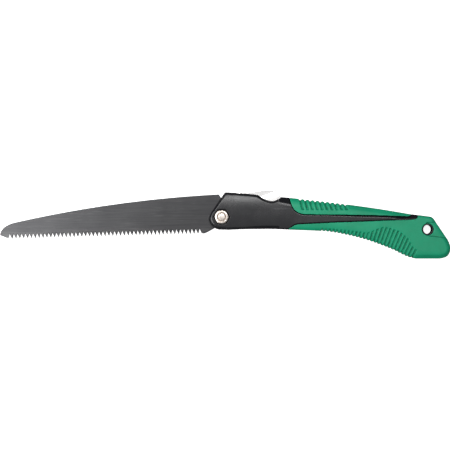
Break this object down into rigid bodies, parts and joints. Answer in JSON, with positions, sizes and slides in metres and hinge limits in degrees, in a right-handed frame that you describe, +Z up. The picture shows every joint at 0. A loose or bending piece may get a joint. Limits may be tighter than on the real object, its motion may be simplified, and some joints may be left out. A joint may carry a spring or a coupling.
{
  "type": "folding pruning saw",
  "caption": "Folding pruning saw: tapered coarse-toothed blade pivoting out of a two-material pistol-curved handle, held open by a thumb lock lever.",
  "frame": {"origin": "on the pivot's axis, at the outer face of the pivot bolt's head, which is the plane the saw lies on", "axes": "+X along the saw from blade to butt, +Y out over the blade's spine and the lock lever, +Z up through the thickness towards the nut's side"},
  "size_m": [0.4492, 0.0692, 0.021],
  "materials": {
    "blade_steel": "satin grey, ground teeth",
    "black_nylon": "satin moulded nylon",
    "green_grip": "soft overmoulded grip, ribbed",
    "polished_steel": "bright polished",
    "plated_steel": "bright nickel-plated fasteners",
    "liner_steel": "plain rolled steel",
    "bronze": "plain turned bronze",
    "spring_steel": "blued"
  },
  "bodies": {
    "handle": {"handle_shell_near": "black_nylon", "handle_shell_far": "black_nylon", "upper_grip_near": "green_grip", "upper_grip_far": "green_grip", "lower_grip_near": "green_grip", "lower_grip_far": "green_grip", "liner_plate_near": "liner_steel", "liner_plate_far": "liner_steel", "thrust_washer_near": "bronze", "thrust_washer_far": "bronze", "pivot_bolt": "plated_steel", "pivot_nut": "plated_steel", "pivot_sleeve": "bronze", "stop_pin": "plated_steel", "lever_pin": "plated_steel", "lock_spring": "spring_steel", "handle_screw_1": "plated_steel", "handle_screw_2": "plated_steel", "handle_screw_3": "plated_steel", "handle_screw_4": "plated_steel"},
    "blade": {"blade": "blade_steel"},
    "lever": {"lock_lever": "polished_steel"}
  },
  "joints": [
    {"name": "blade_fold", "type": "hinge", "parent": "handle", "child": "blade", "pos_m": [0, 0, 0.0105], "axis": [0, 0, 1], "range_deg": [0, 168]},
    {"name": "lever_press", "type": "hinge", "parent": "handle", "child": "lever", "pos_m": [0.027, 0.017, 0.0105], "axis": [0, 0, -1], "range_deg": [0, 8], "stiffness_Nm_per_rad": 0.6, "springref_deg": -11.46, "deforming": ["lock_spring"]}
  ]
}
